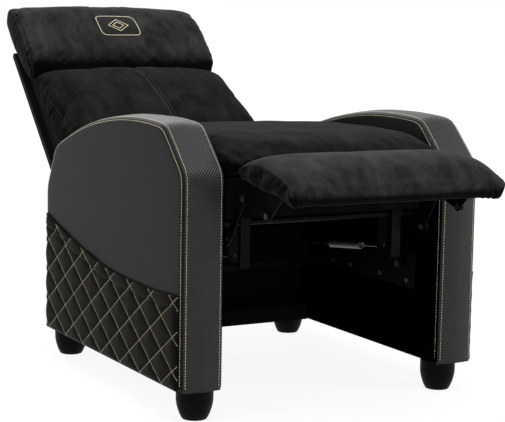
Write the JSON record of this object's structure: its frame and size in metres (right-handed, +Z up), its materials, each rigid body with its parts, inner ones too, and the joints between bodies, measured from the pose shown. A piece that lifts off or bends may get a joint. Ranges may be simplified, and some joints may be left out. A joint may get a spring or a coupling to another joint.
{
  "type": "recliner",
  "caption": "Upholstered push-back recliner with padded arms, quilted side pockets, raised footrest and a tilting back with a separate head cushion.",
  "frame": {"origin": "floor level under the middle of the chair's length and width when fully reclined", "axes": "+Z up, -Y towards the sitter's feet (front), +X to the sitter's left"},
  "size_m": [0.826, 1.69, 0.9252],
  "materials": {
    "foot": "black, satin",
    "zinc": "zinc plated",
    "steel": "black powder coat",
    "spring_steel": "oiled spring wire",
    "timber": "raw plywood and softwood",
    "ribbed_trim": "black leatherette with fine diagonal ribs",
    "side_cloth": "black leatherette, soft sheen",
    "quilted_cloth": "black leatherette quilted in diamonds with pale gold thread",
    "rear_cloth": "black leatherette over board",
    "lining": "black non-woven lining",
    "velvet": "black short-pile velvet"
  },
  "bodies": {
    "base": {"arm_frame_left": "timber", "arm_frame_right": "timber", "arm_band_left": "ribbed_trim", "arm_band_right": "ribbed_trim", "arm_side_left": "side_cloth", "arm_side_right": "side_cloth", "arm_inner_left": "side_cloth", "arm_inner_right": "side_cloth", "side_pocket_left": "quilted_cloth", "side_pocket_right": "quilted_cloth", "foot_front_left": "foot", "foot_rear_left": "foot", "foot_front_right": "foot", "foot_rear_right": "foot", "foot_bolts": "zinc", "rear_panel": "rear_cloth", "rear_rail": "timber", "base_rail_left": "steel", "base_rail_right": "steel", "base_bolts": "zinc", "base_cross_bar": "steel", "base_pivot_pins": "zinc"},
    "front_swing": {"swing_arms_front": "steel", "swing_rivets_front": "zinc"},
    "rear_swing": {"swing_arms_rear": "steel", "swing_rivets_rear": "zinc"},
    "seat": {"seat_side_rails": "timber", "seat_front_rail": "timber", "seat_rear_rail": "timber", "seat_plate_left": "steel", "seat_plate_right": "steel", "seat_plate_screws": "zinc", "seat_cross_tube": "steel", "seat_apron": "lining", "seat_dust_cover": "lining", "seat_springs": "spring_steel", "seat_cushion": "velvet", "spring_straps": "steel", "tension_springs": "spring_steel", "lift_pivot_rivets": "zinc", "back_hinge_pins": "zinc"},
    "lift_links": {"lift_links": "steel", "elbow_rivets": "zinc"},
    "reach_links": {"reach_links": "steel", "footrest_rivets": "zinc"},
    "footrest": {"footrest_board": "timber", "footrest_pad": "velvet", "footrest_brackets": "steel", "footrest_screws": "zinc"},
    "backrest": {"back_board": "rear_cloth", "back_post_left": "timber", "back_post_right": "timber", "back_rails": "timber", "back_springs": "spring_steel", "back_brackets": "steel", "back_bracket_bolts": "zinc", "lower_back_cushion": "velvet", "head_cushion": "velvet"}
  },
  "joints": [
    {"name": "seat_swing", "type": "hinge", "parent": "base", "child": "front_swing", "pos_m": [0, -0.43, 0.3], "axis": [-1, 0, 0], "range_deg": [0, 58], "deforming": ["tension_springs"]},
    {"name": "rear_swing_turn", "type": "hinge", "parent": "base", "child": "rear_swing", "pos_m": [0, -0.12, 0.3], "axis": [-1, 0, 0], "range_deg": [0, 58]},
    {"name": "seat_level", "type": "hinge", "parent": "front_swing", "child": "seat", "pos_m": [0, -0.37038, 0.41552], "axis": [1, 0, 0], "range_deg": [0, 58]},
    {"name": "lift_link_turn", "type": "hinge", "parent": "seat", "child": "lift_links", "pos_m": [0, -0.55, 0.41], "axis": [1, 0, 0], "range_deg": [0, 162.01]},
    {"name": "reach_link_turn", "type": "hinge", "parent": "lift_links", "child": "reach_links", "pos_m": [0, -0.613, 0.508], "axis": [-1, 0, 0], "range_deg": [0, 264.94]},
    {"name": "footrest_turn", "type": "hinge", "parent": "reach_links", "child": "footrest", "pos_m": [0, -0.70974, 0.47948], "axis": [1, 0, 0], "range_deg": [0, 185.94]},
    {"name": "back_raise", "type": "hinge", "parent": "seat", "child": "backrest", "pos_m": [0, 0.225, 0.37], "axis": [1, 0, 0], "range_deg": [0, 42]}
  ],
  "couplings": [
    {"joint": "rear_swing_turn", "follows": "seat_swing", "ratio": 1},
    {"joint": "seat_level", "follows": "seat_swing", "ratio": 1},
    {"joint": "lift_link_turn", "follows": "seat_swing", "ratio": 2.7932},
    {"joint": "reach_link_turn", "follows": "seat_swing", "ratio": 4.5679},
    {"joint": "footrest_turn", "follows": "seat_swing", "ratio": 3.2057}
  ]
}
